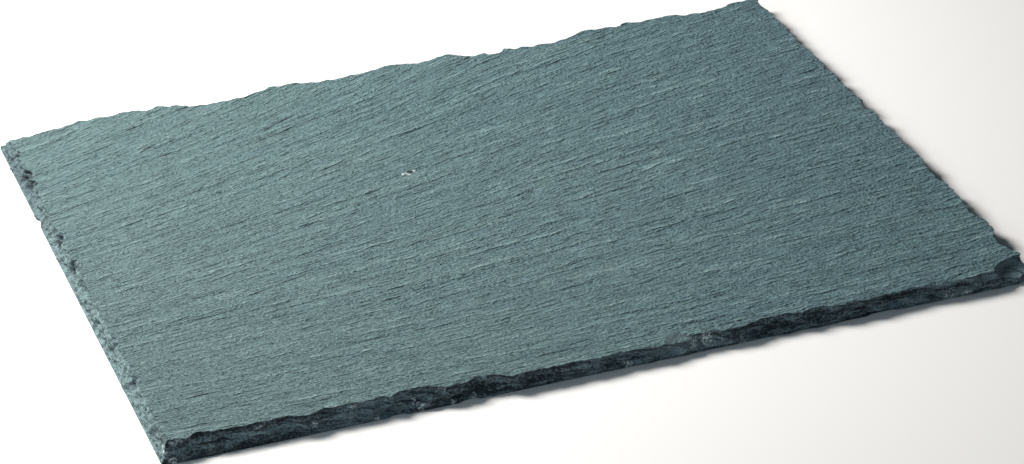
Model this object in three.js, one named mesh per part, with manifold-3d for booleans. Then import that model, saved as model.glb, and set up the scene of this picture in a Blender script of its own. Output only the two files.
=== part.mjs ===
// A riven slate slab: one sheet split from the block along its cleavage, trimmed to a rectangle,
// with edges dressed by hand, so that they are chipped, scalloped and stepped.
// Millimetres, +Z up, the underside on z = 0 and the origin under the middle of the slab.
import * as THREE from 'three';
import { mergeVertices } from 'three/addons/utils/BufferGeometryUtils.js';
import Module from 'manifold-3d';

// Driving dimensions
const LENGTH = 400; // along X, the front and back edges
const WIDTH = 300; // along Y, the left and right edges
const THICKNESS = 8.6; // to the highest ridge
const RIDGE_HEIGHT = 0.5; // tallest ridge, valley to crest
const SWELL_RISE = 0.3; // how much thicker the front left is
const SWELL_FALL = 0.5; // how much thinner the middle of the front is
const RIDGE_PITCH = 7.2; // crest to crest, halfway along the slab
const LAYERS = 3; // sheets of cleavage that show as steps on the edges
const LEDGE = 0.9; // how far one sheet may stand out beyond the next

// The grain: ridges fan out from a line near the front edge and climb to the right behind it.
const FAN_LINE = -0.35 * WIDTH;
const FAN_RATE = 0.64 / LENGTH; // growth of the spacing along X
const STEEP_SHARE = 0.32; // share of the pitch on the steep front side of a ridge
const WANDER = 0.8; // how far the ridges stray from the even fan, in shares of the pitch
const WANDER_KNOT = 60; // length along the slab over which they stray
const ROWS_TOGETHER = 8; // rows that stray together
const RIDGE_KNOT = 45; // length along a ridge over which its height changes
const CREST_DIP = 0.35; // dips along a crest, in shares of the ridge height
const SHEET_COLUMNS = 21;
const SHEET_MARGIN = 15;

// The trimmed outline: posts round the edge that carry the steps of the layers.
const POSTS = 196; // 56 on a long side and 42 on a short one, so that every corner has one
const LEDGE_RISE = 0.12; // share of a layer taken by the slope of a step
const LEDGE_KNOT = 9; // length along the edge over which a step changes
const LEDGE_PROUD = 0.4; // share of a step that stands out rather than in
const OVERSHOOT = 1.3; // how far the outline rises past the sheet before the two are cut

// Insets of the top edge from the underside's outline, as stations [place along the edge, inset].
const RIM = {
  front: [[-200, 5.2], [-165, 4.9], [-150, 3.7], [-80, 3.3], [-45, 1.3], [20, 0.9], [100, 1.8], [200, 1.4]],
  back: [[-200, 1.2], [-120, 0.9], [-60, 1.8], [0, 1.0], [90, 2.4], [140, 2.0], [200, 0.6]],
  left: [[-150, 4.0], [0, 4.3], [150, 4.1]],
  right: [[-150, 1.3], [0, 0.6], [150, 1.2]],
};

// Flakes struck off the top edge: [place along the edge, half length, reach from the outline].
const RIM_FLAKES = {
  front: [
    [-178, 14, 6.0], [-146, 8, 5.0], [-122, 15, 4.6], [-104, 4, 5.2], [-90, 11, 6.6], [-59, 10, 4.7],
    [42, 9, 3.6], [74, 16, 3.6], [95, 7, 4.2], [140, 14, 3.4],
  ],
  back: [
    [-198, 37, 7.6], [-150, 8, 1.9], [-129, 7, 2.2], [-91, 27, 7.8], [-30, 26, 5.2], [15, 14, 4.4],
    [41, 9, 7.6], [53, 7, 9.6], [74, 27, 8.2], [168, 17, 4.4],
  ],
  left: [
    [130, 4, 5.6], [105, 5, 6.6], [95, 4, 6.2], [39, 5, 6.4], [13, 4, 6.8], [-60, 4, 5.6], [-93, 5, 6.2],
  ],
  right: [
    [100, 14, 1.7], [63, 4, 2.8], [37, 8, 1.4], [19, 6, 2.7], [-18, 12, 1.2], [-55, 13, 3.2],
    [-74, 6, 1.9], [-93, 11, 3.7], [-126, 12, 4.5],
  ],
};

// Scars lower on the edge faces: [place along the edge, half length, bite, height of the middle].
const FACE_SCARS = {
  front: [
    [-165, 9, 3.6, 4.6], [-98, 12, 3.6, 3.2], [-66, 9, 3.0, 3.0], [66, 12, 2.4, 3.4], [126, 15, 2.6, 3.0],
  ],
  back: [[-75, 14, 2.2, 3.0], [110, 12, 2.0, 3.4]],
  left: [[70, 3.5, 1.6, 0.0], [-20, 9, 2.4, 4.0]],
  right: [[90, 10, 1.8, 3.2], [-20, 9, 1.6, 3.0]],
};
const SCAR_HEIGHT = 3.4; // half height of a scar
const FLAKE_STAND_OFF = 5; // from the outline out to the middle of a flake's bowl
const FLAKE_TOE = 1.4; // height on the edge face where a flake runs out
const FLAKE_BITE = 0.4; // least that a flake takes off the rim

// Heavy blows: two broke off the front right corner, and one took a slope off the front rim.
// Each has the middle of its bowl and its half sizes.
const HEAVY_BLOWS = [
  { at: [200, -152, 9.3], size: [19.5, 13, 7] },
  { at: [204, -152, 0.5], size: [11, 8.5, 5] },
  { at: [31, -151, 10.2], size: [10, 11, 4] },
];
const SMALL_BLOW = 17; // half length under which a bowl has few facets

// Each side: its distance from the middle, the turn that brings the front round to it, and whether
// places along it then run the same way or backwards.
const SIDES = {
  front: { out: WIDTH / 2, turn: 0, sign: 1 },
  right: { out: LENGTH / 2, turn: Math.PI / 2, sign: 1 },
  back: { out: WIDTH / 2, turn: Math.PI, sign: -1 },
  left: { out: LENGTH / 2, turn: -Math.PI / 2, sign: -1 },
};

const MIDDLE = new THREE.Vector2();
const TOUCH = 1e-6; // a post this near a side stands on it
const SAME_POINT = 1e-4; // vertices this near each other are one

const wasm = await Module();
wasm.setup();

// A fixed scatter of values from 0 to 1, the same for the same pair of numbers.
function scatter(a, b) {
  const wave = Math.sin(a * 12.9898 + b * 78.233) * 43758.5453;
  return wave - Math.floor(wave);
}

// A value from 0 to 1 that drifts smoothly along a row, with a new value at every knot.
function drift(along, row, knot) {
  const place = along / knot;
  const start = Math.floor(place);
  const blend = THREE.MathUtils.smoothstep(place - start, 0, 1);
  return THREE.MathUtils.lerp(scatter(start, row), scatter(start + 1, row), blend);
}

// The inset of the top edge at a place along one side, straight between its stations.
function rimInset(side, along) {
  const stations = RIM[side];
  const next = Math.max(1, stations.findIndex(([place]) => place >= along));
  const [from, insetFrom] = stations[next - 1];
  const [to, insetTo] = stations[next];
  return THREE.MathUtils.mapLinear(along, from, to, insetFrom, insetTo);
}

// The broad swell of the split face: thicker at the front left, thinner at the middle of the front.
function swell(x, y) {
  const towardsFront = THREE.MathUtils.smoothstep(-y, -0.1 * WIDTH, 0.5 * WIDTH);
  const left = THREE.MathUtils.smoothstep(-x, 0, 0.5 * LENGTH);
  const middle = Math.exp(-((x / (0.2 * LENGTH)) ** 2));
  return towardsFront * (SWELL_RISE * left - SWELL_FALL * middle);
}

// Merges a geometry's shared vertices and makes it a solid that can be joined and cut.
function solidFrom(geometry) {
  geometry.deleteAttribute('normal');
  geometry.deleteAttribute('uv');
  const merged = mergeVertices(geometry, SAME_POINT);
  const vertProperties = new Float32Array(merged.attributes.position.array);
  const triVerts = new Uint32Array(merged.index.array);
  return new wasm.Manifold(new wasm.Mesh({ numProp: 3, vertProperties, triVerts }));
}

// Moves every vertex of a geometry to where a function of its place says.
function reshape(geometry, place) {
  const position = geometry.getAttribute('position');
  const point = new THREE.Vector3();
  for (let i = 0; i < position.count; i++) {
    place(point.fromBufferAttribute(position, i));
    position.setXYZ(i, point.x, point.y, point.z);
  }
  return geometry;
}

// How far neighbouring ridges stray together from the even fan, in shares of the pitch.
function wanderOf(x, group) {
  const start = Math.floor(group);
  const near = drift(x, start, WANDER_KNOT);
  const far = drift(x, start + 1, WANDER_KNOT);
  return WANDER * (THREE.MathUtils.lerp(near, far, group - start) - 0.5);
}

// The split sheet: an oversize slab whose rows are the crests and valleys of the ridges.
function rivenSheet() {
  const halfLength = LENGTH / 2 + SHEET_MARGIN;
  const halfWidth = WIDTH / 2 + SHEET_MARGIN;
  const widest = Math.exp(FAN_RATE * halfLength);
  const firstRidge = Math.floor(((-halfWidth - FAN_LINE) * widest) / RIDGE_PITCH);
  const lastRidge = Math.ceil(((halfWidth - FAN_LINE) * widest) / RIDGE_PITCH);
  const rows = 2 * (lastRidge - firstRidge);
  const box = new THREE.BoxGeometry(2 * halfLength, rows, 2, SHEET_COLUMNS, rows, 1);
  return solidFrom(reshape(box, (point) => {
    const row = Math.round(point.y + rows / 2);
    const isCrest = row % 2 === 0;
    const ridge = firstRidge + row / 2 + (isCrest ? 0 : 0.5 - STEEP_SHARE);
    const wander = wanderOf(point.x, row / ROWS_TOGETHER);
    point.y = FAN_LINE + (ridge + wander) * RIDGE_PITCH * Math.exp(FAN_RATE * point.x);
    const valley = isCrest ? 0 : drift(point.x, row, RIDGE_KNOT);
    const dip = CREST_DIP * drift(point.x, row + 0.5, RIDGE_KNOT);
    const top = THICKNESS - SWELL_RISE + swell(point.x, point.y) - RIDGE_HEIGHT * (valley + dip);
    point.z = point.z > 0 ? top : -THICKNESS;
  }));
}

// How far a layer's edge stands in from the outline: the rim's slope, with the layer's own ragged step.
function layerInset(side, along, layer, rise) {
  if (layer === 0) return 0;
  const depth = layer === LAYERS ? LEDGE / 2 : LEDGE;
  const step = drift(along, 7 * layer + SIDES[side].turn, LEDGE_KNOT) - LEDGE_PROUD;
  return Math.max(0, rimInset(side, along) * rise + depth * step);
}

// The trimmed outline: sloping edge faces in stepped layers, taller than the sheet so that it cuts it.
// Posts stand at even steps round the rectangle, from the front left corner, and carry the layers' edges.
function dressedOutline() {
  const levels = 2 * LAYERS - 1;
  const corners = [[-1, -1], [1, -1], [1, 1], [-1, 1], [-1, -1]];
  const halfSize = new THREE.Vector2(LENGTH, WIDTH).divideScalar(2);
  const outline = new THREE.Path(corners.map((signs) => new THREE.Vector2(...signs).multiply(halfSize)));
  const drum = new THREE.CylinderGeometry(1, 1, levels, POSTS, levels).rotateX(Math.PI / 2);
  return solidFrom(reshape(drum, (point) => {
    const level = Math.round(point.z + levels / 2);
    const layer = Math.ceil(level / 2);
    const rise = (layer - (level % 2 ? LEDGE_RISE : 0)) / LAYERS;
    point.z = rise * THICKNESS * (level === levels ? OVERSHOOT : 1);
    const isCapCentre = Math.hypot(point.x, point.y) < 0.5;
    if (isCapCentre) return;
    const turns = Math.atan2(point.y, point.x) / (2 * Math.PI);
    const number = (Math.round(turns * POSTS) + POSTS) % POSTS;
    const post = outline.getPoint(number / POSTS);
    point.setX(post.x).setY(post.y);
    for (const [side, { out, turn, sign }] of Object.entries(SIDES)) {
      const local = post.clone().rotateAround(MIDDLE, -turn);
      if (local.y > -out + TOUCH) continue;
      const inward = new THREE.Vector2(0, 1).rotateAround(MIDDLE, turn);
      const inset = layerInset(side, sign * local.x, layer, rise);
      point.x += inset * inward.x;
      point.y += inset * inward.y;
    }
  }));
}

// The bowl of one blow: a faceted ellipsoid outside the given side, ready to be cut away.
function bowl(side, along, standOff, height, size) {
  const { out, turn, sign } = SIDES[side];
  const ball = new THREE.IcosahedronGeometry(1, size[0] < SMALL_BLOW ? 1 : 2);
  ball.scale(...size).translate(sign * along, -out - standOff, height).rotateZ(turn);
  return solidFrom(ball);
}

// A flake struck off the top edge, which reaches in from the outline and runs out down the face.
function rimFlake(side, [along, halfLength, reach]) {
  const across = reach + FLAKE_STAND_OFF;
  const rim = Math.min(rimInset(side, along), reach - FLAKE_BITE) + FLAKE_STAND_OFF;
  const length = halfLength / Math.sqrt(1 - (rim / across) ** 2);
  const drop = (THICKNESS - FLAKE_TOE) / Math.sqrt(1 - (FLAKE_STAND_OFF / across) ** 2);
  return bowl(side, along, FLAKE_STAND_OFF, THICKNESS, [length, across, drop]);
}

// A shallow scar on the edge face itself.
function faceScar(side, [along, halfLength, bite, height]) {
  return bowl(side, along, 0, height, [halfLength, bite, SCAR_HEIGHT]);
}

// A heavy blow, which takes off a corner or part of the rim.
function heavyBlow({ at, size }) {
  const ball = new THREE.IcosahedronGeometry(1, 2);
  return solidFrom(ball.scale(...size).translate(...at));
}

function slabSolid() {
  const blows = HEAVY_BLOWS.map(heavyBlow);
  for (const side of Object.keys(SIDES)) {
    blows.push(...RIM_FLAKES[side].map((flake) => rimFlake(side, flake)));
    blows.push(...FACE_SCARS[side].map((scar) => faceScar(side, scar)));
  }
  return blows.reduce((slab, blow) => slab.subtract(blow), rivenSheet().intersect(dressedOutline()));
}

function meshFrom(solid, name, material) {
  const { vertProperties, triVerts } = solid.getMesh();
  const geometry = new THREE.BufferGeometry();
  geometry.setAttribute('position', new THREE.BufferAttribute(vertProperties, 3));
  geometry.setIndex(new THREE.BufferAttribute(triVerts, 1));
  geometry.computeVertexNormals();
  const mesh = new THREE.Mesh(geometry, material);
  mesh.name = name;
  return mesh;
}

const slate = new THREE.MeshStandardMaterial({ color: 0x667d81, roughness: 0.72, metalness: 0 });
const slateSlab = new THREE.Group();
slateSlab.add(meshFrom(slabSolid(), 'slab', slate));

export default slateSlab;
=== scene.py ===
# %% [markdown]
# # A riven slate slab
# This lesson dresses one solid, a slab of slate, so that it looks like the real stone.
# Slate splits along its cleavage into flat sheets. The split face is rippled and silky, and the
# edges, which are knocked off by hand, are dark, stepped and chipped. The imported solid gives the
# size and the frame, in metres with +Z up. The slab below is a finer mesh of the same stone.

# %% Load the frame
import math

import bpy
import numpy as np
from mathutils import Matrix, Vector


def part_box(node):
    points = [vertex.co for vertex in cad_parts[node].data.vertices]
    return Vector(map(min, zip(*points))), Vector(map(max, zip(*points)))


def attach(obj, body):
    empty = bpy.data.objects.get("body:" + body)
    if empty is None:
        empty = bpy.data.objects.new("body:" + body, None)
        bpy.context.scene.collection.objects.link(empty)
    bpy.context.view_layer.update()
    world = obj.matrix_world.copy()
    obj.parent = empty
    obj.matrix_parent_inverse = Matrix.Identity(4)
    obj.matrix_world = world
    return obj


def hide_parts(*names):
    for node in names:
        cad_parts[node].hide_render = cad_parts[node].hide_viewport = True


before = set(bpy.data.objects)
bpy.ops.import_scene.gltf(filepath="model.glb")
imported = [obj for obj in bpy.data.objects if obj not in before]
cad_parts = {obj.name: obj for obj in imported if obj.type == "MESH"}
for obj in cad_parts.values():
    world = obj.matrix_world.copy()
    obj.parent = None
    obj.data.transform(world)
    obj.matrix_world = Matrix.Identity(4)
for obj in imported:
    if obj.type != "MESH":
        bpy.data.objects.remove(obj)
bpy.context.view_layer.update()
MM = 0.001
slab_low, slab_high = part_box("slab")
LENGTH, WIDTH = ((slab_high - slab_low) / MM).xy
THICKNESS = 8.6
print(f"slab {LENGTH:.1f} x {WIDTH:.1f} x {slab_high.z / MM:.2f} mm")

# %% [markdown]
# ## The camera
# The slab lies flat and is seen from the front left, a little under thirty degrees above the table,
# through a long lens from about a metre and a half away. A camera's local axes are the columns of
# its matrix: right, up, and back towards the viewer. A small roll levels the picture as it was taken.

# %% Camera
PICTURE_WIDTH = 1024
FOCAL_PIXELS = 3278.0
SENSOR_WIDTH = 36.0
AZIMUTH, ELEVATION, ROLL = (math.radians(angle) for angle in (-19.857, 29.31, -1.163))
DISTANCE = 1.507
TARGET = Vector((0.0009, -0.0206, 0.0))

toward_viewer = Vector((
    math.sin(AZIMUTH) * math.cos(ELEVATION),
    -math.cos(AZIMUTH) * math.cos(ELEVATION),
    math.sin(ELEVATION),
))
level_right = Vector((0, 0, 1)).cross(toward_viewer).normalized()
level_up = toward_viewer.cross(level_right)
right = math.cos(ROLL) * level_right + math.sin(ROLL) * level_up
up = toward_viewer.cross(right)

camera_data = bpy.data.cameras.new("camera")
camera_data.sensor_width = SENSOR_WIDTH
camera_data.lens = SENSOR_WIDTH * FOCAL_PIXELS / PICTURE_WIDTH
camera = bpy.data.objects.new("camera", camera_data)
axes = Matrix((right, up, toward_viewer)).transposed()
camera.matrix_world = Matrix.Translation(TARGET + DISTANCE * toward_viewer) @ axes.to_4x4()
bpy.context.scene.collection.objects.link(camera)
bpy.context.scene.camera = camera
print(f"lens {camera_data.lens:.1f} mm at {DISTANCE:.2f} m")

# %% [markdown]
# ## Nodes as sums
# The stone's relief and its colour are both rules written in nodes. A tree of Math nodes is hard to
# read when each one is placed by hand, so a small class stands for one number that flows through a
# tree: adding or multiplying two of them makes the Math node and the links.

# %% A number in a node tree
def feed(tree, socket, value):
    """Links a field or a socket to an input, or sets the input's own value."""
    if isinstance(value, Field):
        tree.links.new(value.socket, socket)
    elif isinstance(value, bpy.types.NodeSocket):
        tree.links.new(value, socket)
    else:
        socket.default_value = value


class Field:
    """One number at every point of a surface."""

    def __init__(self, tree, socket):
        self.tree = tree
        self.socket = socket

    def math(self, operation, *others):
        made = self.tree.nodes.new("ShaderNodeMath")
        made.operation = operation
        for socket, value in zip(made.inputs, (self, *others)):
            feed(self.tree, socket, value)
        return Field(self.tree, made.outputs[0])

    def __add__(self, other):
        return self.math("ADD", other)

    def __sub__(self, other):
        return self.math("SUBTRACT", other)

    def __mul__(self, other):
        return self.math("MULTIPLY", other)

    def __truediv__(self, other):
        return self.math("DIVIDE", other)

    def between(self, low, high):
        """Rises smoothly from 0 at low to 1 at high."""
        made = self.tree.nodes.new("ShaderNodeMapRange")
        made.interpolation_type = "SMOOTHSTEP"
        feed(self.tree, made.inputs["Value"], self)
        feed(self.tree, made.inputs["From Min"], low)
        feed(self.tree, made.inputs["From Max"], high)
        return Field(self.tree, made.outputs[0])


def joined(tree, *parts):
    """Three numbers as one vector."""
    made = tree.nodes.new("ShaderNodeCombineXYZ")
    for socket, value in zip(made.inputs, parts):
        feed(tree, socket, value)
    return made.outputs[0]


def split(tree, vector):
    """A vector as three fields."""
    made = tree.nodes.new("ShaderNodeSeparateXYZ")
    feed(tree, made.inputs[0], vector)
    return [Field(tree, socket) for socket in made.outputs]


def noise(tree, parts, detail=2.0, roughness=0.5):
    """Smooth noise about zero, from roughly -0.5 to 0.5, at a place given as three numbers."""
    made = tree.nodes.new("ShaderNodeTexNoise")
    feed(tree, made.inputs["Vector"], joined(tree, *parts))
    made.inputs["Scale"].default_value = 1.0
    made.inputs["Detail"].default_value = detail
    made.inputs["Roughness"].default_value = roughness
    return Field(tree, made.outputs[0]) - 0.5


def bowls(tree, parts):
    """The distance to the nearest of many scattered points, at a place given as three numbers."""
    made = tree.nodes.new("ShaderNodeTexVoronoi")
    feed(tree, made.inputs["Vector"], joined(tree, *parts))
    made.inputs["Scale"].default_value = 1.0
    return Field(tree, made.outputs["Distance"])


# %% [markdown]
# ## The grain
# Ripples on the split face fan out: they run along the front edge and climb to the right behind it.
# One rule draws them all. Going right, the distance from a line near the front grows by a steady
# rate, so the number "across", which undoes that growth, stays the same along each ripple. The fan
# eases off on the right half, and a small wobble keeps the ripples from being ruled lines. The
# relief and the colour both read these numbers, so that colour streaks follow the ripples.

# %% Grain
FAN_LINE = -0.35 * WIDTH * MM
FAN_RATE = 0.64 / (LENGTH * MM)
FAN_EASE = 2.0
WOBBLE, WOBBLE_LENGTH, WOBBLE_PITCH = 0.0026, 0.014, 0.018
WOBBLE_LAYER = 9.0


def grain(tree, x, y):
    """Places along and across the ripples, in metres."""
    right_half = x.math("MAXIMUM", 0.0)
    eased = x - right_half * right_half * FAN_EASE
    shrink = (eased * -FAN_RATE).math("EXPONENT")
    across = (y - FAN_LINE) * shrink
    wobble = noise(tree, (x / WOBBLE_LENGTH, across / WOBBLE_PITCH, WOBBLE_LAYER), detail=1.0)
    return x, across + wobble * WOBBLE


# %% [markdown]
# ## The ripples
# Noise stretched along the grain gives long ripples. Shearing it by its own height makes the side
# that faces the front steep and the other side gentle, as cleavage steps are. The mesh carries the
# ripples, and the finish reads the same rule to sharpen them with bump and to paint highlights on
# their crests and shade in their troughs, so both agree at every point.
# All sizes are in metres. A layer number picks another noise, so that no two rules look alike.

# %% Ripples
SIZES = {
    "Ripple length": 0.052,
    "Ripple pitch": 0.0034,
    "Ripple height": 0.0016,
    "Ripple lean": 0.2,
    "Swell length": 0.16,
    "Swell pitch": 0.011,
    "Swell height": 0.0012,
    "Sheet thickness": 0.0013,
    "Ledge length": 0.009,
    "Ledge depth": 0.0042,
    "Scallop length": 0.0075,
    "Crumb length": 0.0036,
    "Scallop depth": 0.0030,
    "Dent depth": 0.0008,
    "Seed": 4.0,
}
RIPPLE_LAYER = 3.0
FRONT_CALM, FRONT_CALM_FROM, FRONT_CALM_TO = 0.3, -0.16, 0.02
RIGHT_CALM, RIGHT_CALM_FROM, RIGHT_CALM_TO = 0.4, 0.2, 0.05


def ripples(tree, along, across, length, pitch, lean, layer):
    """Noise stretched along the grain and leaning towards the front."""
    at = along / length, across / pitch
    upright = noise(tree, (*at, layer), detail=1.0)
    return noise(tree, (at[0], at[1] + upright * lean, layer), detail=1.0)


def calm(x, y):
    """How much of the ripples is left, less near the front and on the right."""
    front = y.between(FRONT_CALM_FROM, FRONT_CALM_TO) * FRONT_CALM + (1 - FRONT_CALM)
    right = x.between(RIGHT_CALM_FROM, RIGHT_CALM_TO) * RIGHT_CALM + (1 - RIGHT_CALM)
    return front * right


# %% [markdown]
# ## Struck edges
# The edges were trimmed by blows, and each blow took off a flake and left a bowl. A bowl is part of
# an ellipsoid whose middle lies outside the edge. At any place along an edge, and at any height, the
# deepest bowl sets how far the edge stands in. A rule like that keeps the mesh clean, where cutting
# with real bowls would leave slivers. The places of the flakes were read off the real slab. Sizes
# here are in millimetres: a rim is a place and its inset, a flake is a place, half its length and its
# reach, and a scar on the face of the edge also has its height.

# %% Edge rules
RIM = {
    "front": [
        (-200, 5.2), (-165, 4.9), (-150, 3.7), (-80, 3.3), (-45, 1.3), (20, 0.9), (100, 1.8), (200, 1.4),
    ],
    "back": [(-200, 1.2), (-120, 0.9), (-60, 1.8), (0, 1.0), (90, 2.4), (140, 2.0), (200, 0.6)],
    "left": [(-150, 4.0), (0, 4.3), (150, 4.1)],
    "right": [(-150, 1.3), (0, 0.6), (150, 1.2)],
}
RIM_FLAKES = {
    "front": [
        (-178, 14, 6.0), (-146, 8, 5.0), (-122, 15, 4.6), (-104, 4, 5.2), (-90, 11, 6.6), (-59, 10, 4.7),
        (42, 9, 3.6), (74, 16, 3.6), (95, 7, 4.2), (140, 14, 3.4),
    ],
    "back": [
        (-198, 37, 7.6), (-150, 8, 1.9), (-129, 7, 2.2), (-91, 27, 7.8), (-30, 26, 5.2), (15, 14, 4.4),
        (41, 9, 7.6), (53, 7, 9.6), (74, 27, 8.2), (168, 17, 4.4),
    ],
    "left": [
        (130, 4, 5.6), (105, 5, 6.6), (95, 4, 6.2), (39, 5, 6.4), (13, 4, 6.8), (-60, 4, 5.6), (-93, 5, 6.2),
    ],
    "right": [
        (100, 14, 1.7), (63, 4, 2.8), (37, 8, 1.4), (19, 6, 2.7), (-18, 12, 1.2), (-55, 13, 3.2),
        (-74, 6, 1.9), (-93, 11, 3.7), (-126, 12, 4.5),
    ],
}
FACE_SCARS = {
    "front": [
        (-165, 9, 3.6, 4.6), (-98, 12, 3.6, 3.2), (-66, 9, 3.0, 3.0), (66, 12, 2.4, 3.4), (126, 15, 2.6, 3.0),
    ],
    "back": [(-75, 14, 2.2, 3.0), (110, 12, 2.0, 3.4)],
    "left": [(70, 3.5, 1.6, 0.0), (-20, 9, 2.4, 4.0)],
    "right": [(90, 10, 1.8, 3.2), (-20, 9, 1.6, 3.0)],
}
SCAR_HEIGHT = 3.4
STAND_OFF = 5.0
FLAKE_TOE = 1.4
FLAKE_BITE = 0.4


def bowl(along, height, place, middle, half_length, across, half_height):
    """How far one bowl reaches in from its own middle, and 0 outside it."""
    left = 1 - ((along - place) / half_length) ** 2 - ((height - middle) / half_height) ** 2
    return across * np.sqrt(np.maximum(left, 0))


def edge_slope(side, along, height):
    """How far the edge stands in before it is struck, in millimetres."""
    rim = np.array(RIM[side], float)
    return np.interp(along, rim[:, 0], rim[:, 1]) * height / THICKNESS


def edge_inset(side, along, height):
    """How far the edge stands in from the outline, in millimetres."""
    deepest = edge_slope(side, along, height)
    for place, half_length, reach in RIM_FLAKES[side]:
        across = reach + STAND_OFF
        rim_inset = min(edge_slope(side, place, THICKNESS), reach - FLAKE_BITE)
        rim_share = (rim_inset + STAND_OFF) / across
        length = half_length / math.sqrt(1 - rim_share**2)
        drop = (THICKNESS - FLAKE_TOE) / math.sqrt(1 - (STAND_OFF / across) ** 2)
        bite = bowl(along, height, place, THICKNESS, length, across, drop) - STAND_OFF
        deepest = np.maximum(deepest, bite)
    for place, half_length, bite, middle in FACE_SCARS[side]:
        deepest = np.maximum(deepest, bowl(along, height, place, middle, half_length, bite, SCAR_HEIGHT))
    return deepest


# %% [markdown]
# ## The blank
# The slab starts as a grid for the top face, rings of points down the edge, and a coarse grid below.
# Every point begins on a plain block. The insets of the four sides then pull it in, fading away
# from each edge, so the rows of the mesh bend along the chipped rim and its line stays crisp.
# The edge has more points than the face, because chips are finer than ripples: extra points
# split each border side of the top grid, and the faces there take them in as extra corners.

# %% Points of the block
X_STOPS = [(-200, 6), (-190, 180), (168, 34), (200, 0)]
Y_STOPS = [(-150, 34), (-122, 210), (136, 12), (150, 0)]
SPLITS_ALONG_X, SPLITS_ALONG_Y = 3, 2
EDGE_LEVELS = 14
UNDER_STEP = 4
UNDER_SHARE = 0.97
FADE = 42.0
SWELL_RISE, SWELL_FALL, MEAN_RELIEF = 0.3, 0.5, 0.2
SWELL_BACK, DIP_WIDTH = 0.1 * WIDTH, 0.2 * LENGTH


def stops(marks):
    """Places between marks, each mark with the number of steps that follow it."""
    runs = [
        np.linspace(start, end, steps, endpoint=False)
        for (start, steps), (end, _) in zip(marks, marks[1:])
    ]
    return np.concatenate([*runs, [marks[-1][0]]])


def smooth(value, low, high):
    """Rises smoothly from 0 at low to 1 at high."""
    share = np.clip((value - low) / (high - low), 0, 1)
    return share * share * (3 - 2 * share)


def top_height(x, y):
    """Height of the split face before its ripples, with its broad swell, in millimetres."""
    towards_front = smooth(-y, -SWELL_BACK, WIDTH / 2)
    left = smooth(-x, 0, LENGTH / 2)
    middle = np.exp(-((x / DIP_WIDTH) ** 2))
    swell = towards_front * (SWELL_RISE * left - SWELL_FALL * middle)
    return THICKNESS - SWELL_RISE - MEAN_RELIEF + swell


def fade(distance):
    """How much of an edge's inset is felt at a distance from it."""
    return np.clip(1 - distance / FADE, 0, 1) ** 2


def dressed(x, y, rise):
    """Points of the block moved to the dressed slab. Rise is 0 on the underside and 1 on the top."""
    z = rise * top_height(x, y)
    from_left = edge_inset("left", y, z) * fade(x + LENGTH / 2)
    from_right = edge_inset("right", y, z) * fade(LENGTH / 2 - x)
    from_front = edge_inset("front", x, z) * fade(y + WIDTH / 2)
    from_back = edge_inset("back", x, z) * fade(WIDTH / 2 - y)
    return np.stack([x + from_left - from_right, y + from_front - from_back, z], axis=-1)


xs, ys = stops(X_STOPS), stops(Y_STOPS)
columns, rows = len(xs) - 1, len(ys) - 1
print(f"top face of {columns} by {rows} cells")

# %% Top face and its rim
def numbered(first, across, deep):
    """Point numbers for a grid of cells."""
    return first + np.arange((across + 1) * (deep + 1)).reshape(across + 1, deep + 1)


def grid_faces(numbers):
    """Quads over a grid of point numbers, facing up."""
    corners = numbers[:-1, :-1], numbers[1:, :-1], numbers[1:, 1:], numbers[:-1, 1:]
    return np.stack([corner.ravel() for corner in corners], axis=1).tolist()


def border_of(numbers):
    """The border of a grid of point numbers, anticlockwise from the front left."""
    sides = numbers[:-1, 0], numbers[-1, :-1], numbers[:0:-1, -1], numbers[0, :0:-1]
    return np.concatenate(sides)


top_numbers = numbered(0, columns, rows)
grid_x, grid_y = (places.ravel() for places in np.meshgrid(xs, ys, indexing="ij"))
border = border_of(top_numbers)
rim, rim_places, between = [], [], {}
count = top_numbers.size
for start, end in zip(border.tolist(), np.roll(border, -1).tolist()):
    splits = SPLITS_ALONG_X if grid_y[start] == grid_y[end] else SPLITS_ALONG_Y
    between[start, end] = list(range(count, count + splits - 1))
    count += splits - 1
    rim += [start, *between[start, end]]
    for part in np.arange(splits) / splits:
        rim_places.append(((1 - part) * grid_x[start] + part * grid_x[end],
                           (1 - part) * grid_y[start] + part * grid_y[end]))
rim = np.array(rim)
rim_x, rim_y = np.array(rim_places).T


def with_rim(face):
    """A face with the extra rim points put into its border sides."""
    full = []
    for start, end in zip(face, face[1:] + face[:1]):
        full += [start, *between.get((start, end), [])]
    return full


top_faces = [with_rim(face) for face in grid_faces(top_numbers)]
extra = rim >= top_numbers.size
top_x = np.concatenate([grid_x, rim_x[extra]])
top_y = np.concatenate([grid_y, rim_y[extra]])
points = [dressed(top_x, top_y, np.ones(count))]
rises = [np.ones(count)]
print(f"rim of {len(rim)} points")

# %% Edge and underside
edge_faces = []
upper = rim
for level in range(EDGE_LEVELS - 1, -1, -1):
    rises.append(np.full(len(rim), level / EDGE_LEVELS))
    points.append(dressed(rim_x, rim_y, rises[-1]))
    lower = np.arange(count, count + len(rim))
    count += len(rim)
    edge_faces += np.stack([lower, np.roll(lower, -1), np.roll(upper, -1), upper], axis=1).tolist()
    upper = lower

under_numbers = numbered(count, columns // UNDER_STEP, rows // UNDER_STEP)
under_x, under_y = np.meshgrid(xs[::UNDER_STEP], ys[::UNDER_STEP], indexing="ij")
under_points = np.stack([under_x.ravel(), under_y.ravel(), np.zeros(under_x.size)], axis=1)
points.append(under_points * UNDER_SHARE)
rises.append(np.zeros(under_x.size))
under_faces = [face[::-1] for face in grid_faces(under_numbers)]

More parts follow.
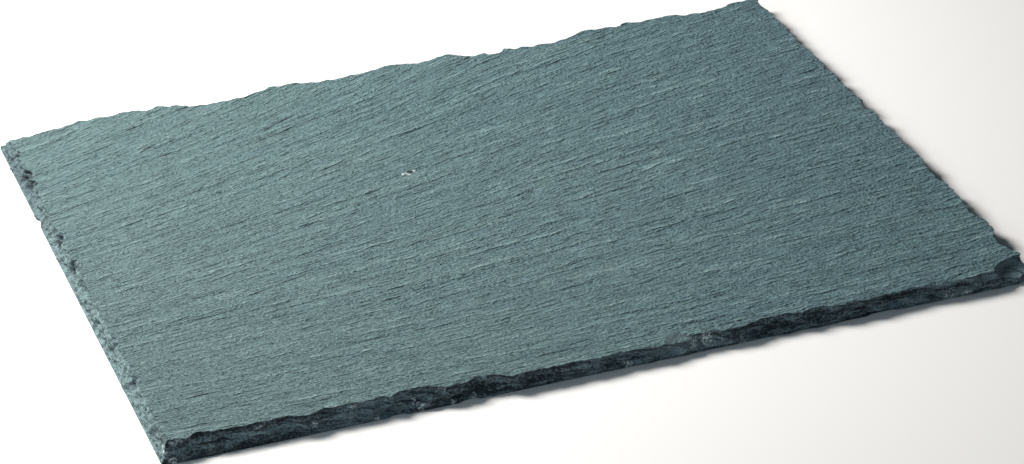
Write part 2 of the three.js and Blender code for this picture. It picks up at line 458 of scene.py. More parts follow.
place_in_rim = {number: place for place, number in enumerate(rim.tolist())}
inner = border_of(under_numbers).tolist()
first_places = [place_in_rim[number] for number in border[::UNDER_STEP].tolist()]
for near, far, first, last in zip(
    inner, inner[1:] + inner[:1], first_places, first_places[1:] + [len(rim)]
):
    run = [int(upper[place % len(rim)]) for place in range(first, last + 1)]
    half = len(run) // 2
    for place, (a, b) in enumerate(zip(run, run[1:])):
        under_faces.append([b, a, near if place < half else far])
    under_faces.append([run[half], near, far])

points = np.concatenate(points)
rises = np.concatenate(rises)
print(f"{len(points)} points on the blank")

# %% [markdown]
# ## Heavy blows
# Two heavy blows broke the front right corner, and one took a slope off the front rim. They cut
# across the top, the edge and the underside, so points inside a blow's ellipsoid are pushed straight
# along the blow until they lie on its far wall. The struck points are remembered: a fresh break is
# smoother than a dressed edge and has no ripples.

# %% Heavy blows
HEAVY_BLOWS = [
    {"middle": (200, -152, 9.3), "size": (19.5, 13, 7), "push": (-0.3, 0.75, -0.6)},
    {"middle": (204, -152, 0.5), "size": (11, 8.5, 5), "push": (-0.7, 0.6, 0.1)},
    {"middle": (31, -151, 10.2), "size": (10, 11, 4), "push": (0.0, 0.35, -0.94)},
]


def strike(places, middle, size, push):
    """Pushes the points inside an ellipsoid out through its far wall."""
    direction = np.array(push) / size
    offset = (places - middle) / size
    a = direction @ direction
    b = offset @ direction
    c = (offset**2).sum(axis=1) - 1
    distance = (-b + np.sqrt(np.maximum(b * b - a * c, 0))) / a
    inside = c < 0
    return np.where(inside[:, None], places + distance[:, None] * push, places), inside


struck = np.zeros(len(points), bool)
for blow in HEAVY_BLOWS:
    points, hit = strike(points, **blow)
    struck |= hit
points[:, 2] = np.maximum(points[:, 2], 0)
print(f"{struck.sum()} points struck by heavy blows")

# %% [markdown]
# ## Values kept on the mesh
# Later steps need to know where a point is: how high on the edge, which way is out, how deep in the
# hollow of a flake, and how crumbly the edge is there. The left side was ground down by many small
# blows and is crumbly. Each of these is kept on the mesh as a named value, which both the nodes and
# the materials can read.

# %% Blank mesh
CRUMBLY = {"left": 1.0, "right": 0.3, "front": 0.15, "back": 0.15}
STRUCK_ROUGHNESS = 0.25
RIM_FOLLOW = 5.0
HOLLOW_DEPTH = 1.5

on_side = {
    "left": rim_x == xs[0],
    "right": rim_x == xs[-1],
    "front": rim_y == ys[0],
    "back": rim_y == ys[-1],
}
rim_out = np.zeros((len(rim), 3))
rim_out[:, 0] = on_side["right"] * 1.0 - on_side["left"]
rim_out[:, 1] = on_side["back"] * 1.0 - on_side["front"]
rim_crumb = np.max([on_side[side] * CRUMBLY[side] for side in CRUMBLY], axis=0)
edge_points = np.concatenate([rim, np.arange(len(top_x), count)])
outward = np.zeros_like(points)
crumb = np.zeros(len(points))
depth_from = {
    "left": top_x - xs[0],
    "right": xs[-1] - top_x,
    "front": top_y - ys[0],
    "back": ys[-1] - top_y,
}
nearness = {side: np.clip(1 - depth / RIM_FOLLOW, 0, 1) ** 2 for side, depth in depth_from.items()}
outward[: len(top_x), 0] = nearness["right"] - nearness["left"]
outward[: len(top_x), 1] = nearness["back"] - nearness["front"]
crumb[: len(top_x)] = np.max([(nearness[side] > 0) * CRUMBLY[side] for side in CRUMBLY], axis=0)
outward[edge_points] = np.tile(rim_out, (EDGE_LEVELS + 1, 1))
crumb[edge_points] = np.tile(rim_crumb, EDGE_LEVELS + 1)
hollow = np.zeros(len(points))
edge_x, edge_y = np.tile(rim_x, EDGE_LEVELS + 1), np.tile(rim_y, EDGE_LEVELS + 1)
edge_z = rises[edge_points] * top_height(edge_x, edge_y)
for side, along in {"left": edge_y, "right": edge_y, "front": edge_x, "back": edge_x}.items():
    here = np.tile(on_side[side], EDGE_LEVELS + 1)
    bitten = edge_inset(side, along, edge_z) - edge_slope(side, along, edge_z)
    hollow[edge_points[here]] = np.clip(bitten[here] / HOLLOW_DEPTH, 0, 1)
under_share = np.zeros(len(points))
under_share[count:] = 1
rough = np.where(struck, STRUCK_ROUGHNESS, 1.0)

broken_faces = [all(struck[number] for number in face) for face in top_faces]
is_edge = broken_faces + [True] * len(edge_faces) + [False] * len(under_faces)

blank = bpy.data.meshes.new("slab_blank")
blank.from_pydata((points * MM).tolist(), [], top_faces + edge_faces + under_faces)


def keep(name, kind, domain, values):
    """Keeps one value for every point or face of the blank under a name."""
    attribute = blank.attributes.new(name, kind, domain)
    key = "vector" if kind == "FLOAT_VECTOR" else "value"
    attribute.data.foreach_set(key, np.asarray(values).ravel())


keep("rise", "FLOAT", "POINT", rises)
keep("outward", "FLOAT_VECTOR", "POINT", outward)
keep("crumb", "FLOAT", "POINT", crumb)
keep("under", "FLOAT", "POINT", under_share)
keep("rough", "FLOAT", "POINT", rough)
keep("hollow", "FLOAT", "POINT", hollow)
keep("is_edge", "BOOLEAN", "FACE", is_edge)
slab = bpy.data.objects.new("slate_slab", blank)
bpy.context.scene.collection.objects.link(slab)
print(f"blank of {len(blank.polygons)} faces, {sum(is_edge)} of them on the edge")

# %% [markdown]
# ## The finishes
# Slate is a fine mud pressed into flakes of mica, so its split face is matt with a faint silky sheen.
# Its colour is a blue-green grey that drifts in streaks along the grain, greener on the left and
# bluer on the right, with painted highlights on the relief's crests and painted shade in its troughs.
# The finest wrinkles, a few millimetres apart or less, are bump. A few cracks, pale bruises and white
# mineral spots are placed one by one, as they are on the real slab. The broken edge is the same stone
# seen end on: thin sheets show as lines, with gritty grains between them and painted shadow lines
# under the overhanging sheets.
# Stone powder sticks to the crumbly left side and is darker towards the back. Less of it lies in
# the hollows of the flakes, which stay dark: painted shade.

# %% Material helpers
MIX_SHARE, MIX_FIRST, MIX_SECOND, MIX_RESULT = 0, 6, 7, 2
SPOT_CORE = 0.4
CRACK_CORE = 0.3


def new_material(name):
    """A material with its tree and its shader."""
    material = bpy.data.materials.new(name)
    material.use_nodes = True
    tree = material.node_tree
    return material, tree, tree.nodes["Principled BSDF"]


def named(tree, name):
    """A value kept on the mesh, read inside a material."""
    made = tree.nodes.new("ShaderNodeAttribute")
    made.attribute_name = name
    return Field(tree, made.outputs["Fac"])


def mixed(tree, share, first, second):
    """The first colour where the share is 0, the second where it is 1."""
    made = tree.nodes.new("ShaderNodeMix")
    made.data_type = "RGBA"
    feed(tree, made.inputs[MIX_SHARE], share)
    feed(tree, made.inputs[MIX_FIRST], first)
    feed(tree, made.inputs[MIX_SECOND], second)
    return made.outputs[MIX_RESULT]


def bumped(tree, height, distance, below=None):
    """A normal tilted by a height, on top of another normal."""
    made = tree.nodes.new("ShaderNodeBump")
    made.inputs["Distance"].default_value = distance
    feed(tree, made.inputs["Height"], height)
    if below is not None:
        feed(tree, made.inputs["Normal"], below)
    return made.outputs[0]


def object_place(tree):
    """The vector of a point in the slab's own frame."""
    return tree.nodes.new("ShaderNodeTexCoord").outputs["Object"]


def spots(tree, place, marks, ragged):
    """1 inside any of the marks, each a place and a radius in millimetres, with ragged borders."""
    total = None
    for *middle, radius in marks:
        apart = tree.nodes.new("ShaderNodeVectorMath")
        apart.operation = "DISTANCE"
        feed(tree, apart.inputs[0], place)
        apart.inputs[1].default_value = [value * MM for value in middle]
        distance = Field(tree, apart.outputs["Value"]) + ragged * (radius * MM)
        share = distance.between(radius * MM, SPOT_CORE * radius * MM)
        total = share if total is None else total.math("MAXIMUM", share)
    return total


def cracks_and_shadow_lines(across, up, marks, ragged):
    """1 in any of the thin lines, cracks on the split face and painted shadow lines on the edge, each a
    place, half its length and width, and its slope, in millimetres.
    """
    total = None
    for middle, height, half_length, half_width, slope in marks:
        along = across - middle * MM
        aside = up - height * MM - along * slope + ragged * MM
        from_end = (along / (half_length * MM)).math("POWER", 2.0)
        from_side = (aside / (half_width * MM)).math("POWER", 2.0)
        share = (from_end + from_side).between(1.0, CRACK_CORE)
        total = share if total is None else total.math("MAXIMUM", share)
    return total


# %% Colours and marks of the split face
GREEN_SLATE = (0.122, 0.200, 0.209, 1)
BLUE_SLATE = (0.097, 0.170, 0.196, 1)
# Painted shade for the troughs of the ripples, then a painted highlight for their crests.
PAINTED_TROUGH_SHADE = (0.070, 0.120, 0.138, 1)
PAINTED_CREST_HIGHLIGHT = (0.270, 0.400, 0.408, 1)
BRUISE = (0.29, 0.45, 0.48, 1)
QUARTZ = (0.64, 0.72, 0.71, 1)
CRACK_AND_SHADE_SLATE = (0.020, 0.031, 0.041, 1)
FACE_QUARTZ = [(-29.8, 37.2, 8.2, 1.7), (-26.2, 38.6, 8.2, 1.3), (-32, 37.4, 8.2, 1.0), (-27, -138, 8.2, 0.8)]
FACE_BRUISES = [
    (28, -139, 8.2, 7), (194, 119, 8.3, 4), (195, -74, 8.3, 4.5), (194, -106, 8.3, 5), (-194, 114, 8.3, 5),
]
FACE_CRACKS = [
    (-28.3, 38.4, 2.2, 0.6, 0.2), (-70.5, 110.5, 12, 0.8, 0.57), (-136, 109, 5, 0.7, 0.45),
    (-130, 99, 4, 0.7, 0.45), (164, 108, 2, 0.9, 0.3),
]

# %% Noises of the split face
STREAK = {"length": 0.12, "pitch": 0.009, "layer": 3.0, "detail": 3.0}
WRINKLE = {"length": 0.012, "pitch": 0.0015, "layer": 5.0, "detail": 3.0, "roughness": 0.55}
WRINKLE_SLANT = 0.08
GRIT = {"length": 0.0015, "pitch": 0.0010, "layer": 7.0, "detail": 2.0, "roughness": 0.6}
DRIFT = {"length": 0.030, "pitch": 0.012, "layer": 11.0, "detail": 1.0}
STRENGTH = {"length": 0.025, "pitch": 0.006, "layer": 13.0, "detail": 1.0}
TRAIN_PITCH, TRAIN_DRIFT, TRAIN_STRENGTH = 0.0040, 3.0, 0.3


def grained(tree, along, across, length, pitch, layer, detail, roughness=0.5):
    """Noise of a length along the grain and a pitch across it."""
    return noise(tree, (along / length, across / pitch, layer), detail, roughness)


def ripple_train(tree, along, across):
    """Ripples at an even pitch, which drift aside and come and go."""
    drift = grained(tree, along, across, **DRIFT)
    strength = grained(tree, along, across, **STRENGTH) + TRAIN_STRENGTH
    turns = across / TRAIN_PITCH + drift * TRAIN_DRIFT
    return (turns * math.tau).math("SINE") * strength


# %% Split face
HUE_RATE, HUE_SPREAD = 1.4, 0.3
# How much each relief adds to the painted shade and highlights of the split face.
RIPPLE_PAINTED_SHADING, SWELL_PAINTED_SHADING, TRAIN_PAINTED_SHADING, WRINKLE_PAINTED_SHADING, GRIT_PAINTED_SHADING = 0.9, 0.15, 0.3, 0.9, 0.3
TROUGH_DEPTH, TROUGH_SHARE = 0.5, 0.55
CREST_HEIGHT, CREST_SHARE = 0.6, 0.9
BRUISE_RAGGED, QUARTZ_RAGGED, CRACK_RAGGED = 1.6, 1.4, 1.5
SPECKLE_LOW, SPECKLE_HIGH, BRUISE_SHARE = 0.03, 0.28, 0.8
FACE_RIPPLE, FACE_TRAIN, FACE_WRINKLE, FACE_GRAIN = 0.0014, 0.0008, 0.0046, 0.0011
FACE_ROUGHNESS, ROUGHNESS_DRIFT, FACE_SPECULAR = 0.62, 0.2, 0.35


def riven_slate():
    """The split face, with highlights and shade painted from the same ripples that the mesh has."""
    material, tree, shader = new_material("riven_slate")
    place = object_place(tree)
    x, y, _ = split(tree, place)
    along, across = grain(tree, x, y)
    slanted = across - along * WRINKLE_SLANT
    streak = grained(tree, along, across, **STREAK)
    wrinkle = grained(tree, along, slanted, **WRINKLE)
    grit = grained(tree, along, slanted, **GRIT)
    train = ripple_train(tree, along, across)
    lean, seed = SIZES["Ripple lean"], SIZES["Seed"]
    swell = ripples(tree, along, across, SIZES["Swell length"], SIZES["Swell pitch"], lean, seed)
    ripple_sizes = SIZES["Ripple length"], SIZES["Ripple pitch"], lean, seed + RIPPLE_LAYER
    ripple = ripples(tree, along, across, *ripple_sizes)
    # The height of the relief at each point, which sets the painted shade and highlights.
    lifted = ripple * RIPPLE_PAINTED_SHADING + swell * SWELL_PAINTED_SHADING + train * TRAIN_PAINTED_SHADING
    lifted = lifted + wrinkle * WRINKLE_PAINTED_SHADING + grit * GRIT_PAINTED_SHADING

    hue = streak + x * HUE_RATE
    body = mixed(tree, hue.between(-HUE_SPREAD, HUE_SPREAD), GREEN_SLATE, BLUE_SLATE)
    # Painted shade in the troughs and painted highlights on the crests.
    body = mixed(tree, lifted.between(0.0, -TROUGH_DEPTH) * TROUGH_SHARE, body, PAINTED_TROUGH_SHADE)
    body = mixed(tree, lifted.between(0.0, CREST_HEIGHT) * CREST_SHARE, body, PAINTED_CREST_HIGHLIGHT)
    bruise = spots(tree, place, FACE_BRUISES, wrinkle * BRUISE_RAGGED + grit)
    speckle = (grit + wrinkle).between(SPECKLE_LOW, SPECKLE_HIGH)
    body = mixed(tree, bruise * speckle * BRUISE_SHARE, body, BRUISE)
    body = mixed(tree, spots(tree, place, FACE_QUARTZ, wrinkle * QUARTZ_RAGGED), body, QUARTZ)
    body = mixed(tree, cracks_and_shadow_lines(x, y, FACE_CRACKS, wrinkle * CRACK_RAGGED), body, CRACK_AND_SHADE_SLATE)
    feed(tree, shader.inputs["Base Color"], body)

    feed(tree, shader.inputs["Roughness"], streak * ROUGHNESS_DRIFT + FACE_ROUGHNESS)
    shader.inputs["Specular IOR Level"].default_value = FACE_SPECULAR
    rippled = bumped(tree, ripple * calm(x, y), FACE_RIPPLE)
    trained = bumped(tree, train, FACE_TRAIN, rippled)
    wrinkled = bumped(tree, wrinkle, FACE_WRINKLE, trained)
    feed(tree, shader.inputs["Normal"], bumped(tree, grit, FACE_GRAIN, wrinkled))
    return material


split_finish = riven_slate()
print(f"material {split_finish.name}")

# %% Colours and marks of the broken edge
EDGE_QUARTZ = [
    (-198.5, 5.2, 2.0), (-195.5, 0.9, 2.3), (-134, 3.4, 2.2), (-107, 0.8, 1.6), (-89.5, 3.0, 2.2),
    (-87.5, 1.9, 2.5), (-73, 0.7, 1.6), (-64, 0.8, 2.0), (6, 0.9, 2.7), (37, 5.0, 2.7), (43.5, 4.6, 4.0),
    (59, 0.8, 2.5), (159, 0.7, 4.0), (167, 0.7, 3.2),
]
# Painted light on the lower front edge below the rim, where it slopes out: a place along it, a height and a
# radius, in millimetres.
PAINTED_LIGHT_PATCHES = [(-178, 3.0, 22), (44, 4.0, 30)]
# Painted shadow lines under the overhanging sheets of the front edge: a place along it, a height, half the
# length and width, and a slope, in millimetres.
EDGE_SHADOW_LINES = [
    (-176.5, 4.2, 12, 0.35, -0.05), (-168, 5.9, 7, 0.45, 0.0), (-127.5, 4.0, 3, 0.5, 0.38),
    (-95.5, 4.6, 11, 0.4, -0.18), (-81, 5.3, 6, 0.4, -0.18), (-46.5, 4.7, 6, 0.35, -0.4),
    (-26.5, 5.0, 4.5, 0.35, -0.39), (-20.5, 2.2, 8, 0.4, -0.09), (43, 6.6, 10, 0.5, -0.12),
    (51, 4.6, 7, 0.35, -0.3), (68, 5.6, 5, 0.4, -0.2), (129, 5.4, 10, 0.5, -0.15),
    (150, 5.0, 5.5, 0.35, -0.2), (169, 4.8, 4, 0.35, -0.5), (119, 3.1, 4.5, 0.35, -0.25),
    (149, 2.8, 4.5, 0.35, -0.18),
]
FRONT_DEPTH, FRONT_FADE = 9.0, 0.9
# The edge colour is lighter than the stone's own, to make up for the shade on the front and right edges:
# partly painted light.
EDGE_SLATE = (0.196, 0.285, 0.335, 1)
DARK_EDGE_SLATE = (0.095, 0.154, 0.166, 1)
PALE_AND_LIT_SLATE = (0.375, 0.540, 0.600, 1)
POWDER_SLATE = (0.184, 0.286, 0.298, 1)
FAR_POWDER = (0.112, 0.180, 0.196, 1)
EDGE_WHITE = (0.80, 0.93, 0.97, 1)

# %% Noises of the broken edge
PITS = {"length": 0.0011, "height": 0.0008, "detail": 3.0, "roughness": 0.7}
SHEETS = {"length": 0.018, "height": 0.0012, "detail": 3.0, "roughness": 0.65}
CHIPS = {"length": 0.006, "height": 0.003, "detail": 2.0}
FLECKS = {"length": 0.0009, "height": 0.0009, "detail": 2.0}
SHADOW_SEAMS = {"length": 0.024, "height": 0.0024, "detail": 1.0}
BANDS = {"length": 0.045, "height": 0.003, "detail": 1.0}
CRUMB_LENGTH, CRUMB_HEIGHT = 0.0045, 0.0032


def bedded(tree, x, y, z, length, height, detail, roughness=0.5):
    """Noise of a length along the sheets and a height through them."""
    return noise(tree, (x / length, y / length, z / height), detail, roughness)


# %% Broken edge
SEAM_SLOPE, SEAM_WIDTH, SHADOW_SEAM_SHARE = 0.2, 0.035, 0.7
PIT_TINT, SHEET_TINT, CHIP_TINT, BAND_TINT = 1.2, 0.8, 0.5, 0.7
FRONT_DRIFT = 0.25
DARK_TONE, MIDDLE_TONE = -0.2, 0.16
PALE_FROM_TONE, PALE_TONE = 0.15, 0.4
RIM_CRUMBS, BARE_TONE, POWDER_TONE = 22.0, -0.6, -0.1
BACK_NEAR, BACK_FAR, BACK_SHARE = 0.130, 0.142, 0.65
POWDER_NEAR, POWDER_FAR = -0.03, 0.12
STRUCK_NEAR, STRUCK_FAR, STRUCK_SHARE = 0.10, 0.18, 0.7
HOLLOW_SHARE, PAINTED_LIGHT_SHARE, SHADOW_LINE_SHARE = 0.7, 0.36, 0.85
BARE_PATCH, FULL_PATCH = -0.4, 0.2
RIM_HEIGHT, RIM_FADE = 6.8, 5.2
FLECK_LOW, FLECK_HIGH, FLECK_SHARE = 0.16, 0.26, 0.7
GRAIN_LOW, GRAIN_HIGH = -0.04, 0.06
EDGE_SHADOW_RAGGED, EDGE_SPOT_RAGGED = 1.2, 0.8
EDGE_SHEETS, EDGE_CRUMBS, EDGE_GRIT = 0.0012, 0.0024, 0.0020
EDGE_ROUGHNESS, EDGE_SPECULAR = 0.75, 0.3


def edge_spots(tree, x, z, marks, ragged):
    """1 inside any of the marks of the front edge, each a place along it, a height and a radius."""
    flat_marks = [(along, 0, height, radius) for along, height, radius in marks]
    return spots(tree, joined(tree, x, 0.0, z), flat_marks, ragged)


def edge_body(tree, x, y, z, tone, crumbly):
    """The edge's colour, partly painted shade and light, before its painted shadow lines and minerals."""
    body = mixed(tree, tone.between(DARK_TONE, MIDDLE_TONE), CRACK_AND_SHADE_SLATE, EDGE_SLATE)
    body = mixed(tree, tone.between(PALE_FROM_TONE, PALE_TONE), body, PALE_AND_LIT_SLATE)
    # Darker slate on the back edge, which faces the lamp, so the lighter edge colour, painted light, stays on
    # the shaded sides.
    body = mixed(tree, y.between(BACK_NEAR, BACK_FAR) * BACK_SHARE, body, DARK_EDGE_SLATE)
    # Less powder in the hollows of the flakes, so they stay dark: painted shade.
    unshaded = named(tree, "hollow") * -HOLLOW_SHARE + 1.0
    powder = crumbly * (tone - z * RIM_CRUMBS).between(BARE_TONE, POWDER_TONE) * unshaded
    # The powder is darker towards the back.
    powder_colour = mixed(tree, y.between(POWDER_NEAR, POWDER_FAR), POWDER_SLATE, FAR_POWDER)
    body = mixed(tree, powder, body, powder_colour)
    struck = named(tree, "rough").between(1.0, STRUCK_ROUGHNESS)
    # The broken corner on the right takes the lighter edge colour, painted light in its shaded bowl; the
    # slope of the front blow stays dark.
    struck_colour = mixed(tree, x.between(STRUCK_NEAR, STRUCK_FAR), DARK_EDGE_SLATE, EDGE_SLATE)
    return mixed(tree, struck * STRUCK_SHARE, body, struck_colour)


def broken_edge():
    """The struck edge, with the sheets of the stone seen end on."""
    material, tree, shader = new_material("broken_edge")
    x, y, z = split(tree, object_place(tree))
    pits = bedded(tree, x, y, z, **PITS)
    sheets = bedded(tree, x, y, z, **SHEETS)
    chips = bedded(tree, x, y, z, **CHIPS)
    flecks = bedded(tree, x, y, z, **FLECKS)
    shadow_seams = bedded(tree, x, y, z + x * SEAM_SLOPE, **SHADOW_SEAMS).math("ABSOLUTE")
    bands = bedded(tree, x, y, z, **BANDS)
    # The tone follows the pit and sheet noises that also make the bump, so the edge is darker where the bump
    # sinks and paler where it stands out: partly the stone's own mottling, partly painted shade and light.
    tone = pits * PIT_TINT + sheets * SHEET_TINT + chips * CHIP_TINT + bands * BAND_TINT + x * FRONT_DRIFT
    crumbly = named(tree, "crumb").between(CRUMBLY["front"], CRUMBLY["left"])
    body = edge_body(tree, x, y, z, tone, crumbly)
    # Painted shadow lines along the sloping seams between the sheets.
    body = mixed(tree, shadow_seams.between(SEAM_WIDTH, 0.0) * SHADOW_SEAM_SHARE, body, CRACK_AND_SHADE_SLATE)
    body = mixed(tree, flecks.between(FLECK_LOW, FLECK_HIGH) * FLECK_SHARE, body, PALE_AND_LIT_SLATE)
    on_front = (y + WIDTH / 2 * MM).between(FRONT_DEPTH * MM, FRONT_FADE * FRONT_DEPTH * MM)
    below_rim = z.between(RIM_HEIGHT * MM, RIM_FADE * MM)
    # Painted light on the lower front edge, below the rim.
    patch = edge_spots(tree, x, z, PAINTED_LIGHT_PATCHES, chips * EDGE_SPOT_RAGGED) * on_front
    pale = patch * tone.between(BARE_PATCH, FULL_PATCH) * below_rim
    body = mixed(tree, pale * PAINTED_LIGHT_SHARE, body, PALE_AND_LIT_SLATE)
    # Painted shadow lines under the overhanging sheets of the front edge.
    shadow_line = cracks_and_shadow_lines(x, z, EDGE_SHADOW_LINES, chips * EDGE_SHADOW_RAGGED) * on_front
    body = mixed(tree, shadow_line * SHADOW_LINE_SHARE, body, CRACK_AND_SHADE_SLATE)
    quartz = edge_spots(tree, x, z, EDGE_QUARTZ, chips * EDGE_SPOT_RAGGED) * on_front
    body = mixed(tree, quartz * flecks.between(GRAIN_LOW, GRAIN_HIGH), body, EDGE_WHITE)
    feed(tree, shader.inputs["Base Color"], body)
    shader.inputs["Roughness"].default_value = EDGE_ROUGHNESS
    shader.inputs["Specular IOR Level"].default_value = EDGE_SPECULAR
    layered = bumped(tree, sheets, EDGE_SHEETS)
    crumbs = bowls(tree, (x / CRUMB_LENGTH, y / CRUMB_LENGTH, z / CRUMB_HEIGHT)) * crumbly
    crumbled = bumped(tree, crumbs, EDGE_CRUMBS, layered)
    feed(tree, shader.inputs["Normal"], bumped(tree, pits, EDGE_GRIT, crumbled))
    return material


edge_finish = broken_edge()
print(f"material {edge_finish.name}")

# %% [markdown]
# ## The riven relief
# The ripples follow one rule over the whole face, so Geometry Nodes makes them. On the edges, the thin
# sheets of the stone each stand out or in by their own amount, which makes the ledges, and small blows
# leave scallops: the distance to the nearest of many scattered points is a bowl round each one, with
# sharp ridges where bowls meet. Each size is an input of the tree, so the modifier can set it.

# %% Relief tree and its sizes
relief_tree = bpy.data.node_groups.new("riven_relief", "GeometryNodeTree")
relief_tree.is_modifier = True
relief_tree.interface.new_socket("Geometry", in_out="INPUT", socket_type="NodeSocketGeometry")
relief_tree.interface.new_socket("Geometry", in_out="OUTPUT", socket_type="NodeSocketGeometry")
sockets = {
    name: relief_tree.interface.new_socket(name, in_out="INPUT", socket_type="NodeSocketFloat")
    for name in SIZES
}
group_in = relief_tree.nodes.new("NodeGroupInput")
group_out = relief_tree.nodes.new("NodeGroupOutput")
size = {name: Field(relief_tree, group_in.outputs[name]) for name in SIZES}


def stored(name, kind="FLOAT"):
    """A value kept on the mesh, read back inside the tree."""
    made = relief_tree.nodes.new("GeometryNodeInputNamedAttribute")
    made.data_type = kind
    made.inputs["Name"].default_value = name
    return made.outputs[0]


def kept(name):
    """A number kept on the mesh, ready for sums."""
    return Field(relief_tree, stored(name))


def moved(geometry, offset):
    """The geometry with its points moved."""
    made = relief_tree.nodes.new("GeometryNodeSetPosition")
    feed(relief_tree, made.inputs["Geometry"], geometry)
    feed(relief_tree, made.inputs["Offset"], offset)
    return made.outputs[0]


# %% Ripples on the face
DENT_LENGTH, DENT_PITCH, DENT_LAYER = 0.05, 0.012, 20.0

place = relief_tree.nodes.new("GeometryNodeInputPosition").outputs[0]
x, y, z = split(relief_tree, place)
along, across = grain(relief_tree, x, y)
seed = size["Seed"]
lean = size["Ripple lean"]
swell = ripples(relief_tree, along, across, size["Swell length"], size["Swell pitch"], lean, seed)
ripple_sizes = size["Ripple length"], size["Ripple pitch"], lean, seed + RIPPLE_LAYER
ripple = ripples(relief_tree, along, across, *ripple_sizes)
height = swell * size["Swell height"] + ripple * size["Ripple height"] * calm(x, y)
dents = noise(relief_tree, (x / DENT_LENGTH, y / DENT_PITCH, seed + DENT_LAYER)).math("ABSOLUTE")
dent = dents * size["Dent depth"]
lift = height * kept("rise") * kept("rough") + dent * kept("under")

# %% Ledges and scallops on the edge
BEND_LENGTH, BEND_SHEETS, BEND_LAYER = 0.06, 2.4, 31.0
SHEET_LAYERS, LEDGE_ROUGHNESS = 7.7, 0.6
MEAN_SCALLOP, SCALLOP_FLATNESS, CRUMB_FLATNESS = 0.42, 2.4, 1.5
LEDGE_LOSS, FOOT_RISE = 0.6, 0.15

bend = noise(relief_tree, (x / BEND_LENGTH, y / BEND_LENGTH, seed + BEND_LAYER)) * BEND_SHEETS
sheet_number = (z / size["Sheet thickness"] + bend).math("FLOOR")
ledge_at = x / size["Ledge length"], y / size["Ledge length"], sheet_number * SHEET_LAYERS + seed
ledge = noise(relief_tree, ledge_at, roughness=LEDGE_ROUGHNESS) * size["Ledge depth"]


def scallops(length, flatness):
    """Bowls of a length, flattened along the sheets, about zero."""
    return bowls(relief_tree, (x / length, y / length, z / length * flatness)) - MEAN_SCALLOP


crumb_share = kept("crumb")
coarse = scallops(size["Scallop length"], SCALLOP_FLATNESS)
fine = scallops(size["Crumb length"], CRUMB_FLATNESS)
chips = (coarse + (fine - coarse) * crumb_share) * size["Scallop depth"]
ledges = ledge * (crumb_share * -LEDGE_LOSS + 1.0)
out_by = (ledges + chips) * kept("rise").between(0.0, FOOT_RISE) * kept("rough")
push = relief_tree.nodes.new("ShaderNodeVectorMath")
push.operation = "SCALE"
feed(relief_tree, push.inputs[0], stored("outward", "FLOAT_VECTOR"))
feed(relief_tree, push.inputs["Scale"], out_by)

# %% Moves, finishes and output
lifted = moved(group_in.outputs["Geometry"], joined(relief_tree, 0.0, 0.0, lift))
chipped = moved(lifted, push.outputs[0])
realized = relief_tree.nodes.new("GeometryNodeRealizeInstances")
feed(relief_tree, realized.inputs[0], chipped)


def finished(geometry, material, selection=None):
    """The geometry with a material on the selected faces."""
    made = relief_tree.nodes.new("GeometryNodeSetMaterial")
    feed(relief_tree, made.inputs["Geometry"], geometry)
    if selection is not None:
        feed(relief_tree, made.inputs["Selection"], selection)
    made.inputs["Material"].default_value = material
    return made.outputs[0]


split_done = finished(realized.outputs[0], split_finish)
edge_done = finished(split_done, edge_finish, stored("is_edge", "BOOLEAN"))
feed(relief_tree, group_out.inputs[0], edge_done)

# %% Carve the slab
CREASE = math.radians(40)

carve = slab.modifiers.new("riven_relief", "NODES")
carve.node_group = relief_tree
for name, value in SIZES.items():
    carve[sockets[name].identifier] = value
carved = bpy.data.meshes.new_from_object(slab.evaluated_get(bpy.context.evaluated_depsgraph_get()))
slab.modifiers.remove(carve)
slab.data = carved
carved.name = "slate_slab"
carved.polygons.foreach_set("use_smooth", np.ones(len(carved.polygons), bool))
carved.set_sharp_from_angle(angle=CREASE)
triangle_count = sum(len(face.vertices) - 2 for face in carved.polygons)
print(f"slab of {triangle_count} triangles, finishes {[finish.name for finish in carved.materials]}")

# %% Place it in the frame
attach(slab, "root")
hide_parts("slab")

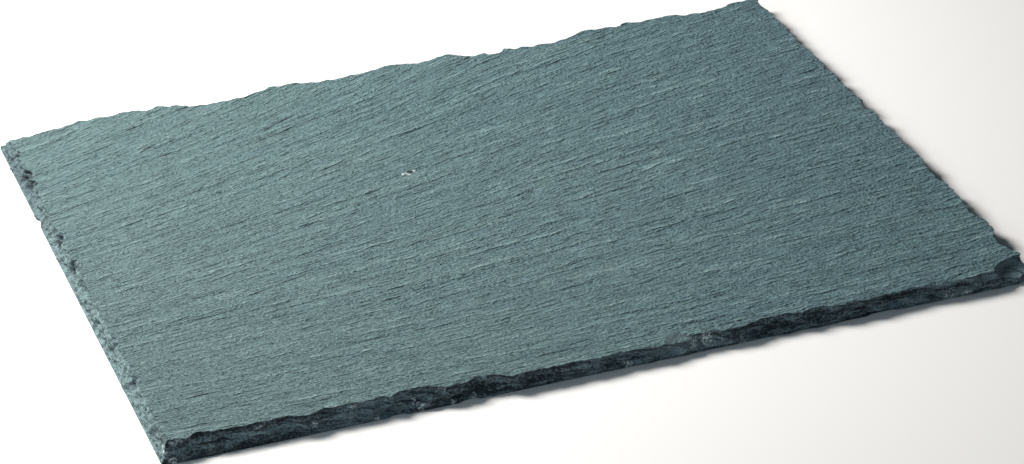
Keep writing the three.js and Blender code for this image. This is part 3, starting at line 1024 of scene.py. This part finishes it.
# %% [markdown]
# ## Floor and light
# The slab lies on a pale floor. A soft lamp stands behind it on the left, so the ripples show their
# shaded side to the viewer, the left side is brighter than the right, and the front edge is in shade.
# A weaker lamp further out on the left lights the crumbly side, and a faint even sky fills the shadows.

# %% Floor, lights and sky
FLOOR_SIZE, FLOOR_DROP = 6.0, 0.0002
FLOOR_COLOR, FLOOR_ROUGHNESS = (0.8, 0.8, 0.8, 1), 0.9

half = FLOOR_SIZE / 2
floor_corners = [(-half, -half, 0), (half, -half, 0), (half, half, 0), (-half, half, 0)]
floor_data = bpy.data.meshes.new("floor")
floor_data.from_pydata(floor_corners, [], [(0, 1, 2, 3)])
floor = bpy.data.objects.new("floor", floor_data)
floor.location.z = -FLOOR_DROP
bpy.context.scene.collection.objects.link(floor)
paper, _, paper_shader = new_material("pale_floor")
paper_shader.inputs["Base Color"].default_value = FLOOR_COLOR
paper_shader.inputs["Roughness"].default_value = FLOOR_ROUGHNESS
floor_data.materials.append(paper)


def soft_lamp(name, place, aim, size, power, color):
    """A square area lamp that faces a point."""
    data = bpy.data.lights.new(name, "AREA")
    data.size = size
    data.energy = power
    data.color = color
    lamp = bpy.data.objects.new(name, data)
    lamp.location = place
    lamp.rotation_euler = (Vector(aim) - Vector(place)).to_track_quat("-Z", "Y").to_euler()
    bpy.context.scene.collection.objects.link(lamp)


KEY_LAMP = {
    "place": (-0.56, 0.5, 0.65), "aim": (0, 0, 0), "size": 0.36, "power": 24.0, "color": (1.0, 0.96, 0.91),
}
FILL_LAMP = {
    "place": (-1.3, -0.5, 0.7), "aim": (0, -0.1, 0), "size": 0.3, "power": 4.5, "color": (0.8, 0.93, 1.0),
}
SKY_COLOR, SKY_STRENGTH = (0.62, 0.86, 1.0, 1), 0.07
soft_lamp("key_lamp", **KEY_LAMP)
soft_lamp("fill_lamp", **FILL_LAMP)
world = bpy.data.worlds.new("sky")
bpy.context.scene.world = world
world.use_nodes = True
sky = world.node_tree.nodes["Background"]
sky.inputs["Color"].default_value = SKY_COLOR
sky.inputs["Strength"].default_value = SKY_STRENGTH
bpy.context.scene.view_settings.view_transform = "Standard"
